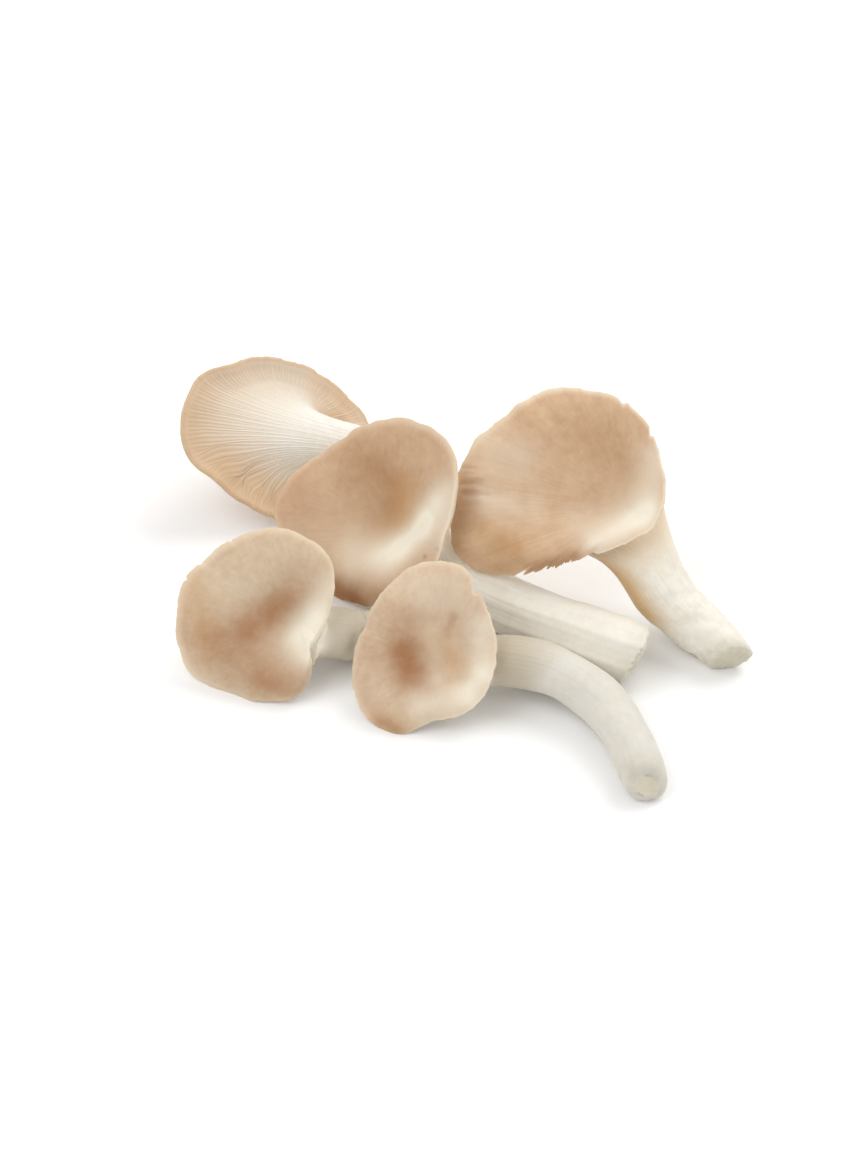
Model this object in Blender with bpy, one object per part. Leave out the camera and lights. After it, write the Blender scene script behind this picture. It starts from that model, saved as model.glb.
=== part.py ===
"""Oyster mushroom cluster: five mushrooms picked from one bunch, lying together as they fell.

Each mushroom grew as one piece, so each is one closed solid: the skin of its cap, the thin rim, the
gills below and the stem down to its cut end. Measures are in millimetres until they reach a mesh,
and the model is in metres, +Z up. The cluster lies on Z = 0 with its origin under the middle of its
bounding box. Flat spots are cut where it touches the table, as soft flesh settles under its weight.
"""

import math

import bmesh
import bpy
import numpy as np
from mathutils import Euler, Vector

MM = 0.001

# How finely a mushroom is drawn. Stations on the cap are shares of the way from its hollow to its rim,
# and stations on the stem are shares of its free length.
SKIN_STATIONS = (0.14, 0.32, 0.5, 0.66, 0.8, 0.91, 0.975)
GILL_STATIONS = (0.97, 0.87, 0.74, 0.6, 0.46, 0.32, 0.16, 0.0)
STEM_STATIONS = (0.12, 0.27, 0.43, 0.6, 0.77, 0.9, 1.0)
SIDES_PER_GILL = 2  # one side of the ring on the gill's edge, the next in the gap beside it
SKIN_SIDE_STEP = 2  # the skin keeps every second side
STEM_SIDE_STEP = 4  # the stem keeps every fourth side
FRAME_STEPS = 60  # steps in which the directions across the stem are carried along it
SLOPE_STEP = 0.01  # share and turn over which the skin's slope is measured
SLOPE_RANGE = (3 * SLOPE_STEP, 1 - 1.5 * SLOPE_STEP)  # shares between which the slope is measured
MERGE = 0.01  # points closer than this become one

RIM_THICKNESS = 1.3
GILL_DEPTH = 1.7
GILLS_BEGIN = 0.97  # share of the reach at which the gills start, just inside the rim
GILLS_FULL = 0.87
MARGIN_BEGINS = 0.7  # share of the reach past which the margin rolls down
HOLLOW_ROUNDING = 0.15  # share of the reach over which the bottom of the hollow is rounded
TWIST_FADES = 0.35  # share of the stem over which the gills' directions even out round it
CUT_BEGINS = 0.75  # share of the stem past which its rings lean into the slant of the cut
CUT_CORE = 0.5  # radius of the last ring on the cut face, as a share of the stem's

FLOOR_SIDE = 400
FLOOR_DEPTH = 40

# The point on the table under the middle of the cluster's bounding box.
CLUSTER_MIDDLE = (8.7, 0.2)

SKIN_COLOUR = (0.55, 0.37, 0.22, 1)
FLESH_COLOUR = (0.79, 0.71, 0.57, 1)
ROUGHNESS = 0.65

# place and tilt: where the cap's hollow lies, and the cap's turn about X and Y in degrees.
# middle: the middle of the rim as seen from the hollow, in the cap's own plane.
# rim: twelve radii round that middle. lift: the rim's height over the hollow. swell: how far the skin
# bulges between the two. roll: how far the margin turns down. These three have eight values round.
# flesh: thickness over the stem, thinning to the rim by the power flesh_fall. join: the share of the
# reach at which the underside starts to run into the stem, which it has done at the neck.
# stem: its middle line from under the hollow to the cut. girth: its radius along that line.
MUSHROOMS = {
    "mushroom_left": dict(
        gills=40,
        place=(-39, -23.5, 16.5),
        tilt=(42, -8),
        middle=(-14.5, 5.5),
        rim=(24.5, 29.5, 28, 24.5, 22.5, 23, 23.5, 25, 24, 25.5, 27, 21.5),
        lift=(4, 4, 2, 0, -3, -3, 0, 4),
        swell=(1, 3, 5, 6, 7, 6, 4, 1),
        roll=(1, 1, 2, 2, 2, 2, 2, 3),
        flesh=8,
        flesh_fall=1.2,
        join=0.8,
        neck=0.5,
        stem=((-38.5, -22, 15), (-34, -20, 12.5), (-27.5, -19, 10.5), (-22.5, -18, 8.5), (-17.5, -16.5, 6.5)),
        girth=(9, 8.2, 7.8, 7.7, 7.4),
        slant=(0, 0),
    ),
    "mushroom_front": dict(
        gills=40,
        place=(4, -35.5, 15.5),
        tilt=(44, -8),
        middle=(-6, 4.5),
        rim=(21.5, 22.5, 26.5, 25, 21, 19.5, 21.5, 25, 27.5, 21.5, 22.5, 22),
        lift=(5, 5, 3, 1, 0, 1, 2, 5),
        swell=(0, 2, 4, 5, 5, 4, 3, 0),
        roll=(0, 2, 2, 2, 2, 2, 1, 0),
        flesh=7,
        flesh_fall=1.2,
        join=0.75,
        neck=0.25,
        stem=(
            (6.5, -33.5, 13.5),
            (14.5, -32, 12.5),
            (23, -31.5, 12),
            (33, -33, 11),
            (42, -38, 10),
            (50, -45.5, 8.5),
            (55.5, -55.5, 7.5),
            (59, -66, 6.5),
            (61, -75.5, 6),
        ),
        girth=(8, 7.6, 7.5, 7.6, 7.5, 7.3, 7, 6.7, 6.1),
        slant=(-0.35, -0.13),
    ),
    "mushroom_centre": dict(
        gills=44,
        place=(-9.5, 14, 20),
        tilt=(32, -36),
        middle=(-9, 10.5),
        rim=(39.5, 33.5, 26, 22.5, 26.5, 33, 30.5, 27, 27.5, 31, 33.5, 34.5),
        lift=(11, 10, 8, 4, 0.5, 2.5, 6, 9),
        swell=(1, 3, 4, 5, 6, 6, 3, 0),
        roll=(0, 0, 1, 2, 2.5, 2.5, 1.5, 0.5),
        flesh=8,
        flesh_fall=1.2,
        join=0.75,
        neck=0.3,
        stem=(
            (-7, 15, 16),
            (2, 10, 12.5),
            (12.5, -0.5, 10),
            (26, -8.5, 9),
            (41, -16.5, 9),
            (52.5, -23, 9),
            (60.3, -26.8, 9),
        ),
        girth=(10, 9.4, 8.8, 8.6, 8.9, 9.5, 9.3),
        slant=(0.35, -0.15),
    ),
    "mushroom_right": dict(
        gills=48,
        place=(57.5, 6, 38),
        tilt=(38, -14),
        middle=(-19, 11.5),
        rim=(32, 31.5, 28.5, 27.5, 25.5, 29.5, 33.5, 37.5, 30, 24.5, 27, 33.5),
        lift=(8, 7, 5, 3, 0, 2, 2, 6),
        swell=(1, 3, 5, 6, 6, 5, 3, 1),
        roll=(0, 0, 1, 2, 3, 2, 1, 0),
        flesh=10,
        flesh_fall=1.3,
        join=0.8,
        neck=0.42,
        stem=(
            (59.5, 7.5, 31.5),
            (62.8, 0.5, 23.5),
            (67.8, -5, 15.5),
            (75.2, -11, 10),
            (82.8, -17.2, 7.1),
            (88.2, -24.8, 5.6),
        ),
        girth=(11, 10, 9.1, 8.3, 7.4, 6.1),
        slant=(0.39, 0.28),
    ),
    "mushroom_back": dict(
        gills=52,
        place=(-45.5, 63, 16),
        tilt=(213, 36),
        middle=(-2.5, 3),
        rim=(31.5, 27.5, 26.5, 26.5, 28.5, 35.5, 35.5, 28, 25, 24, 26, 31.5),
        lift=(-2, -3, -3, -3, -3, -3, -3, -2),
        swell=(2, 3, 3, 3, 3, 3, 3, 2),
        roll=(2, 2, 2, 2, 2.5, 2.5, 2, 2),
        flesh=9,
        flesh_fall=1.25,
        join=0.85,
        neck=0.5,
        stem=((-44, 61.5, 17), (-35.5, 60, 16), (-25.5, 60, 13), (-15, 61, 8.5), (-4.5, 60.5, 5.5)),
        girth=(9.5, 8, 7, 6.5, 6.2),
        slant=(0, 0),
    ),
}


def blend_knots(before, start, end, after, share):
    """Catmull-Rom curve from start to end."""
    bend = 2 * before - 5 * start + 4 * end - after
    twist = 3 * (start - end) + after - before
    return start + 0.5 * share * (end - before + share * (bend + share * twist))


def closed_curve(values, turn):
    """Smooth closed curve through evenly spaced values, with turn from 0 to 1 round it."""
    knots = np.asarray(values, float)
    position = (turn % 1) * len(knots)
    first = np.floor(position).astype(int)
    around = (knots[(first + step) % len(knots)] for step in (-1, 0, 1, 2))
    return blend_knots(*around, position - first)


def open_curve(values, share):
    """Smooth curve through evenly spaced values or points, with share from 0 to 1 along it."""
    knots = np.asarray(values, float)
    knots = np.concatenate([[2 * knots[0] - knots[1]], knots, [2 * knots[-1] - knots[-2]]])
    spans = len(knots) - 3
    position = np.clip(share, 0, 1) * spans
    first = np.minimum(np.floor(position).astype(int), spans - 1)
    local = position - first
    if knots.ndim > 1:
        local = local[..., None]
    return blend_knots(*(knots[first + step] for step in range(4)), local)


def ease(start, end, value):
    """0 at start, 1 at end, smooth between."""
    share = np.clip((value - start) / (end - start), 0, 1)
    return share * share * (3 - 2 * share)


class Mushroom:
    """The surfaces of one mushroom. Points come out in the cluster's millimetres."""

    def __init__(self, form):
        self.form = form
        turn_x, turn_y = (math.radians(angle) for angle in form["tilt"])
        self.turned = np.array(Euler((turn_x, turn_y, 0)).to_matrix())
        self.lay_stem()

    def lay_stem(self):
        """The stem's middle line, with two directions across it that are carried along without twisting."""
        self.marks = np.linspace(0, 1, FRAME_STEPS + 1)
        self.line = open_curve(self.form["stem"], self.marks)
        side, front, heading = (Vector(column) for column in self.turned.T)
        heading = -heading
        rows = []
        for run in np.gradient(self.line, axis=0):
            swing = heading.rotation_difference(Vector(run))
            for direction in (side, front, heading):
                direction.rotate(swing)
            rows.append((tuple(side), tuple(front), tuple(heading)))
        self.side, self.front, self.heading = np.array(rows).transpose(1, 0, 2)

    def along_stem(self, values, share):
        return np.stack([np.interp(share, self.marks, column) for column in values.T], -1)

    def rim_point(self, turn):
        """The rim in the cap's own plane, measured from its hollow."""
        radius = closed_curve(self.form["rim"], turn)
        angle = 2 * math.pi * turn
        middle = self.form["middle"]
        return middle[0] + radius * np.cos(angle), middle[1] + radius * np.sin(angle)

    def skin(self, share, turn):
        """The top of the cap, from the hollow at share 0 to the rim at share 1."""
        form = self.form
        x, y = self.rim_point(turn)
        rise = share**2 * (1 + HOLLOW_ROUNDING) / (share + HOLLOW_ROUNDING)
        bulge = 4 * share * (1 - share) * np.sqrt(rise)
        margin = np.clip((share - MARGIN_BEGINS) / (1 - MARGIN_BEGINS), 0, 1)
        height = closed_curve(form["lift"], turn) * rise
        height = height + closed_curve(form["swell"], turn) * bulge
        height = height - closed_curve(form["roll"], turn) * margin**2
        return np.stack([x * share, y * share, height], -1) @ self.turned.T + form["place"]

    def skin_normal(self, share, turn):
        share = np.clip(share, *SLOPE_RANGE)
        outward = self.skin(share + SLOPE_STEP, turn) - self.skin(share - SLOPE_STEP, turn)
        sideways = self.skin(share, turn + SLOPE_STEP) - self.skin(share, turn - SLOPE_STEP)
        normal = np.cross(outward, sideways)
        return normal / np.linalg.norm(normal, axis=-1, keepdims=True)

    def stem_wall(self, share, turn, width=1):
        """The side of the stem, from the hollow at share 0 to the cut at share 1."""
        x, y = self.rim_point(turn)
        angle = 2 * math.pi * turn
        lean = (np.arctan2(y, x) - angle + math.pi) % (2 * math.pi) - math.pi
        angle = angle + lean * (1 - ease(0, TWIST_FADES, share))
        radius = open_curve(self.form["girth"], share) * width
        side = (radius * np.cos(angle))[..., None]
        front = (radius * np.sin(angle))[..., None]
        slant = (side * self.form["slant"][0] + front * self.form["slant"][1]) * ease(CUT_BEGINS, 1, share)
        across = side * self.along_stem(self.side, share) + front * self.along_stem(self.front, share)
        return self.along_stem(self.line, share) + across + slant * self.along_stem(self.heading, share)

    def underside(self, share, turn, gill=0):
        """The gilled side, from the rim at share 1 until it has run into the stem at share 0."""
        form = self.form
        flesh = RIM_THICKNESS + (form["flesh"] - RIM_THICKNESS) * (1 - share) ** form["flesh_fall"]
        cap = self.skin(share, turn) - self.skin_normal(share, turn) * np.asarray(flesh + gill)[..., None]
        blend = ease(form["join"], 0, share)
        reached = form["neck"] * max(0, 1 - share / form["join"])
        return cap * (1 - blend) + self.stem_wall(reached, turn) * blend

    def rings(self):
        """Every ring of points from the hollow to the cut face, all with the same number of sides."""
        sides = np.arange(self.form["gills"] * SIDES_PER_GILL)
        turns = sides / len(sides)
        skin_turns = turns[sides - sides % SKIN_SIDE_STEP]
        stem_turns = turns[sides - sides % STEM_SIDE_STEP]
        gill_edges = GILL_DEPTH * (sides % SIDES_PER_GILL)
        neck = self.form["neck"]
        rings = [self.skin(share, skin_turns) for share in SKIN_STATIONS]
        rings.append(self.skin(1, turns))
        for share in GILL_STATIONS:
            rings.append(self.underside(share, turns, gill_edges * ease(GILLS_BEGIN, GILLS_FULL, share)))
        for share in STEM_STATIONS:
            rings.append(self.stem_wall(neck + (1 - neck) * share, stem_turns))
        rings.append(self.stem_wall(1, stem_turns, CUT_CORE))
        return np.array(rings)


def grow_mesh(name, mushroom, materials):
    """A ball whose rings are drawn out into the mushroom: its north pole is the hollow, its south the cut."""
    rings = mushroom.rings()
    count, sides = rings.shape[:2]
    poles = {0: mushroom.skin(0, np.zeros(1))[0], count + 1: rings[-1].mean(axis=0)}
    bm = bmesh.new()
    bmesh.ops.create_uvsphere(bm, u_segments=sides, v_segments=count + 1, radius=1)
    skin_rows = len(SKIN_STATIONS) + 1
    for face in bm.faces:
        middle = face.calc_center_median().normalized()
        face.material_index = int(math.acos(middle.z) / math.pi * (count + 1) > skin_rows)
        face.smooth = True
    for vert in bm.verts:
        row = round(math.acos(max(-1, min(1, vert.co.z))) / math.pi * (count + 1))
        side = round(math.atan2(vert.co.y, vert.co.x) / (2 * math.pi) * sides) % sides
        vert.co = Vector(poles[row] if row in poles else rings[row - 1, side]) * MM
    bmesh.ops.remove_doubles(bm, verts=bm.verts, dist=MERGE * MM)
    bmesh.ops.triangulate(bm, faces=bm.faces)
    bmesh.ops.recalc_face_normals(bm, faces=bm.faces)
    mesh = bpy.data.meshes.new(name)
    bm.to_mesh(mesh)
    bm.free()
    for material in materials:
        mesh.materials.append(material)
    return mesh


def make_material(name, colour):
    material = bpy.data.materials.new(name)
    material.use_nodes = True
    shader = material.node_tree.nodes["Principled BSDF"]
    shader.inputs["Base Color"].default_value = colour
    shader.inputs["Roughness"].default_value = ROUGHNESS
    shader.inputs["Metallic"].default_value = 0
    return material


def make_collection(name):
    collection = bpy.data.collections.new(name)
    bpy.context.scene.collection.children.link(collection)
    return collection


def make_table_cutter(collection):
    """The table's block, whose top cuts the flat spots that the cluster lies on."""
    bm = bmesh.new()
    bmesh.ops.create_cube(bm, size=1)
    bmesh.ops.scale(bm, vec=Vector((FLOOR_SIDE, FLOOR_SIDE, FLOOR_DEPTH)) * MM, verts=bm.verts)
    mesh = bpy.data.meshes.new("table_cutter")
    bm.to_mesh(mesh)
    bm.free()
    cutter = bpy.data.objects.new("table_cutter", mesh)
    cutter.location.z = -FLOOR_DEPTH / 2 * MM
    cutter.hide_render = True
    cutter.display_type = "WIRE"
    collection.objects.link(cutter)
    return cutter


def main():
    for old in list(bpy.data.objects):
        bpy.data.objects.remove(old)
    cluster = make_collection("oyster_mushroom_cluster")
    cutter = make_table_cutter(make_collection("cutters"))
    origin = bpy.data.objects.new("cluster_origin", None)
    origin.location = (-CLUSTER_MIDDLE[0] * MM, -CLUSTER_MIDDLE[1] * MM, 0)
    cluster.objects.link(origin)
    flesh = make_material("mushroom_flesh", FLESH_COLOUR)
    for name, form in MUSHROOMS.items():
        skin = make_material(name + "_skin", SKIN_COLOUR)
        body = bpy.data.objects.new(name, grow_mesh(name, Mushroom(form), (skin, flesh)))
        body.parent = origin
        cluster.objects.link(body)
        settle = body.modifiers.new("flat_spots", "BOOLEAN")
        settle.operation = "DIFFERENCE"
        settle.object = cutter


main()
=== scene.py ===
import math

import bmesh
import bpy
import numpy as np
from mathutils import Euler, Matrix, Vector


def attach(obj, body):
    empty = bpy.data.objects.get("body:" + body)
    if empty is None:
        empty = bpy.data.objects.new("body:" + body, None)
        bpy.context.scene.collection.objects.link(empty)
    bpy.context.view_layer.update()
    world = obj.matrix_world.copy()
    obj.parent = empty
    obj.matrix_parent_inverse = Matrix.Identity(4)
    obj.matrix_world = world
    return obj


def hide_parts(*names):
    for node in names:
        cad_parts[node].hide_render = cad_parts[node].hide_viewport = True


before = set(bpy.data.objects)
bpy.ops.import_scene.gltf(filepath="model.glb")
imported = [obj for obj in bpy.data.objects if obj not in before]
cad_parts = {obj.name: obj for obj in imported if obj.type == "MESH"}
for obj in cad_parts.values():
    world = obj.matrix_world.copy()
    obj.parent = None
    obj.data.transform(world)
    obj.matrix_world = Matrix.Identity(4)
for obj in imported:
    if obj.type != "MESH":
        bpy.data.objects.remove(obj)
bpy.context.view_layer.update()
print("frame loaded:", sorted(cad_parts))

mm = 0.001
clusterMiddle = (8.7, 0.2)  # the point under the middle of the pile, in the millimetres that the forms use

# Shared measures of every mushroom, in millimetres or in shares of the way from the cap's hollow to its rim.
capShape = {
    "hollowRounding": 0.15,
    "marginBegins": 0.7,  # past this the margin rolls down
    "drawnFrom": 0.6,  # past this the rim's notches draw the skin in
    "wavesFrom": 0.55,
    "fibresFrom": (0.15, 0.6),
    "fibreDrift": 0.5,
    "notchSharpness": 0.7,
    "rimThickness": 1.3,
    "lipBegins": 0.95,  # past this the flesh rounds off to the rim
    "slopeStep": 0.01,
}
# Gills come in turns of four: a long one, a short one, a middle one and a short one.
gillShape = {
    "turn": 4,
    "middle": 2,  # place of the middle one in its turn
    "depths": (1, 0.86, 0.66),  # of a long, a middle and a short one
    "shallowest": 0.85,
    "startSpread": 0.1,
    "startEase": 0.12,  # over this share a gill rises from the flesh
    "reach": 1.6,  # how far the gills' edges stand out from the flesh
    "begin": 0.995,
    "full": 0.8,
    "gapsFull": 0.93,
    "foldClear": (7, 15),  # reach of the rim over which the gills come in, for they are lost in a fold
    "waves": ((7, 0.7), (13, 0.6), (29, 0.8)),
    "waveDrift": 2,
    "wavesFull": 0.8,
}
# The stem's measures are shares of the way from the neck to the cut end.
stemShape = {
    "frameSteps": 60,
    "twistFades": 0.35,
    "slantBegins": 0.75,
    "ridgesFull": 0.2,
    "ridgeDrift": 0.6,
    "gillsRunOut": 0.55,
    "knots": 6,
    "knotDrift": 1,
    "tearBegins": 0.92,
    "tearFalls": 4,  # how soon a torn edge levels off on the cut face
    "pitDrift": 1,
}
# Where the rings of points lie. Crowding above one brings them together at the rim or at the cut end.
stations = {
    "skinCrowding": 1.35,
    "lip": (0.995, 0.985, 0.97, 0.95),
    "underLip": 0.93,
    "stemCrowding": 1.5,
    "cutWidths": (0.98, 0.9, 0.75, 0.56, 0.37, 0.18),
}
# Where the marks for the finish come in, each from a start to an end.
fades = {
    "rim": (0.96, 1),
    "gaps": (0.2, 0.7),
    "rimTan": (0.35, 1),
    "gillsOut": (0.35, 1),
    "stemWarmShade": (0.2, 0.8),
    "neckShade": (0.3, 1),
    "endShade": (0.8, 1),
    "cut": (1, 0.75),
}
fibreRun = {"neck": 2, "stem": 3, "cut": 0.3}  # how far the fibres have run at the neck, and then do run
closeness = {"line": 1e-9, "weld": 1e-7, "table": 1e-6}


def blendKnots(before, start, end, after, share):
    bend = 2 * before - 5 * start + 4 * end - after
    twist = 3 * (start - end) + after - before
    return start + 0.5 * share * (end - before + share * (bend + share * twist))


def closedCurve(values, turn):
    knots = np.asarray(values, float)
    position = (turn % 1) * len(knots)
    first = np.floor(position).astype(int)
    around = (knots[(first + step) % len(knots)] for step in (-1, 0, 1, 2))
    return blendKnots(*around, position - first)


def openCurve(values, share):
    knots = np.asarray(values, float)
    knots = np.concatenate([[2 * knots[0] - knots[1]], knots, [2 * knots[-1] - knots[-2]]])
    spans = len(knots) - 3
    position = np.clip(share, 0, 1) * spans
    first = np.minimum(np.floor(position).astype(int), spans - 1)
    local = position - first
    if knots.ndim > 1:
        local = local[..., None]
    return blendKnots(*(knots[first + step] for step in range(4)), local)


def ease(start, end, value):
    share = np.clip((value - start) / (end - start), 0, 1)
    return share * share * (3 - 2 * share)


# small waves round a mushroom: each has a count round it and a size, and slides with the share
def ripple(random, turn, share, waves, drift):
    total = np.zeros(np.broadcast(turn, share).shape)
    for count, size in waves:
        phase = random.uniform(0, 1)
        slide = random.uniform(-drift, drift)
        total = total + size * np.cos(2 * math.pi * (count * turn + phase + slide * share))
    return total


# a soft line from one place to another
def stroke(x, y, x0, y0, x1, y1, width):
    along = np.array((x1 - x0, y1 - y0), float)
    length = max(float(along @ along), closeness["line"])
    share = np.clip(((x - x0) * along[0] + (y - y0) * along[1]) / length, 0, 1)
    away = (x - x0 - share * along[0]) ** 2 + (y - y0 - share * along[1]) ** 2
    return np.exp(-away / width**2)


def strokes(x, y, rows):
    total = np.zeros(x.shape)
    for x0, y0, x1, y1, width, size in rows:
        total = total + size * stroke(x, y, x0, y0, x1, y1, width)
    return total


# Shape of a mushroom: how its cap is turned, then its stem's middle line and the directions along it
def layStem(form):
    tilt = [math.radians(angle) for angle in form["tilt"]]
    form["turned"] = np.array(Euler((*tilt, 0)).to_matrix())
    form["along"] = np.linspace(0, 1, stemShape["frameSteps"] + 1)
    form["line"] = openCurve(form["stem"], form["along"])
    side, front, heading = (Vector(column) for column in form["turned"].T)
    heading = -heading
    rows = []
    for run in np.gradient(form["line"], axis=0):
        swing = heading.rotation_difference(Vector(run))
        for direction in (side, front, heading):
            direction.rotate(swing)
        rows.append((tuple(side), tuple(front), tuple(heading)))
    form["side"], form["front"], form["heading"] = np.array(rows).transpose(1, 0, 2)


def alongStem(form, name, share):
    return np.stack([np.interp(share, form["along"], column) for column in form[name].T], -1)


def rimPoint(form, turn):
    radius = closedCurve(form["rim"], turn)
    angle = 2 * math.pi * turn
    return form["middle"][0] + radius * np.cos(angle), form["middle"][1] + radius * np.sin(angle)


def skinPoint(form, share, turn):
    x, y = rimPoint(form, turn)
    rounding = capShape["hollowRounding"]
    rise = share**2 * (1 + rounding) / (share + rounding)
    bulge = 4 * share * (1 - share) * np.sqrt(rise)
    margin = np.clip((share - capShape["marginBegins"]) / (1 - capShape["marginBegins"]), 0, 1)
    height = closedCurve(form["lift"], turn) * rise
    height = height + closedCurve(form["swell"], turn) * bulge
    height = height - closedCurve(form["roll"], turn) * margin**2
    return np.stack([x * share, y * share, height], -1) @ form["turned"].T + form["place"]


def skinNormal(form, share, turn):
    step = capShape["slopeStep"]
    share = np.clip(share, 3 * step, 1 - 1.5 * step)
    outward = skinPoint(form, share + step, turn) - skinPoint(form, share - step, turn)
    sideways = skinPoint(form, share, turn + step) - skinPoint(form, share, turn - step)
    normal = np.cross(outward, sideways)
    return normal / np.linalg.norm(normal, axis=-1, keepdims=True)


def stemPoint(form, share, turn, swell=0, push=0, width=1):
    x, y = rimPoint(form, turn)
    angle = 2 * math.pi * turn
    lean = (np.arctan2(y, x) - angle + math.pi) % (2 * math.pi) - math.pi
    angle = angle + lean * (1 - ease(0, stemShape["twistFades"], share))
    radius = (openCurve(form["girth"], share) + swell) * width
    side = (radius * np.cos(angle))[..., None]
    front = (radius * np.sin(angle))[..., None]
    slant = side * form["slant"][0] + front * form["slant"][1]
    slant = slant * ease(stemShape["slantBegins"], 1, share)[..., None]
    slant = slant + np.asarray(push)[..., None]
    across = side * alongStem(form, "side", share) + front * alongStem(form, "front", share)
    return alongStem(form, "line", share) + across + slant * alongStem(form, "heading", share)


# how high the gills stand: the long ones from the stem on, the others from where they start
def gillRidges(form, random, share, sides):
    sample = np.arange(sides)
    gill = sample // form["gillSamples"]
    ridge = np.sin(math.pi * (sample % form["gillSamples"]) / form["gillSamples"]) ** 2
    kind = gill % gillShape["turn"]
    longOne = kind == 0
    middleOne = kind == gillShape["middle"]
    longDepth, middleDepth, shortDepth = gillShape["depths"]
    starts = np.where(longOne, -1, np.where(middleOne, *form["gillStarts"]))
    depth = np.where(longOne, longDepth, np.where(middleOne, middleDepth, shortDepth))
    starts = starts + random.uniform(-gillShape["startSpread"], gillShape["startSpread"], sides)[gill]
    depth = depth * random.uniform(gillShape["shallowest"], 1, sides)[gill]
    rise = gillShape["startEase"]
    begun = (share - starts[None, :] + rise / 2) / rise
    return ridge[None, :] * depth[None, :] * ease(0, 1, begun)


# the rim's small waves and its notches, in millimetres inwards and up
def shapeRim(form, random, turn):
    x, y = rimPoint(form, turn)
    inward = np.abs(ripple(random, turn, 0, form["rimInward"], 0))
    for place, width, depth in form["notches"]:
        away = (turn - place + 0.5) % 1 - 0.5
        inward = inward + depth * np.clip(1 - np.abs(away) / width, 0, 1) ** capShape["notchSharpness"]
    wave = ripple(random, turn, 0, form["rimWaves"], 0)
    return {"x": x, "y": y, "reach": np.hypot(x, y), "inward": inward, "wave": wave}


def drawnIn(rim, share):
    return share * (1 - rim["inward"] / rim["reach"] * ease(capShape["drawnFrom"], 1, share))


def bulges(form, rim, share):
    raised = strokes(rim["x"] * share, rim["y"] * share, form["relief"])
    return raised + rim["wave"] * ease(capShape["wavesFrom"], 1, share)


def drawSkin(form, random, rim, turn, share):
    fibres = ripple(random, turn, share, form["fibres"], capShape["fibreDrift"])
    height = fibres * ease(*capShape["fibresFrom"], share) + bulges(form, rim, share)
    reached = drawnIn(rim, share)
    return skinPoint(form, reached, turn) + skinNormal(form, reached, turn) * height[..., None]


def drawGills(form, random, rim, turn, share, ridges, stemRidges):
    reached = drawnIn(rim, share)
    thick = capShape["rimThickness"]
    lip = np.clip((share - capShape["lipBegins"]) / (1 - capShape["lipBegins"]), 0, 1)
    flesh = (thick + (form["flesh"] - thick) * (1 - share) ** form["fleshFall"]) * np.sqrt(1 - lip**2)
    gill = (ridges - 1) * form["gillDepth"] + gillShape["reach"]
    gill = gill * ease(gillShape["begin"], gillShape["full"], share)
    blend = ease(form["join"], 0, share)
    tangle = form["gillSway"] + strokes(rim["x"] * share, rim["y"] * share, form["gillTangle"])
    sway = ripple(random, turn, share, gillShape["waves"], gillShape["waveDrift"])
    sway = sway * ease(1, gillShape["wavesFull"], share)
    beside = turn + tangle / form["sides"] * sway
    sunk = flesh + gill - bulges(form, rim, share) * (1 - blend)
    cap = skinPoint(form, reached, beside) - skinNormal(form, reached, beside) * sunk[..., None]
    neck = form["neck"] * np.maximum(0, 1 - share / form["join"])
    wall = stemPoint(form, neck, turn, swell=ridges * form["gillRun"] + stemRidges * blend)
    return cap * (1 - blend)[..., None] + wall * blend[..., None]


def crowdedRows(count, crowding):
    return (1 - (1 - np.arange(1, count + 1) / count) ** crowding)[:, None]


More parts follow.
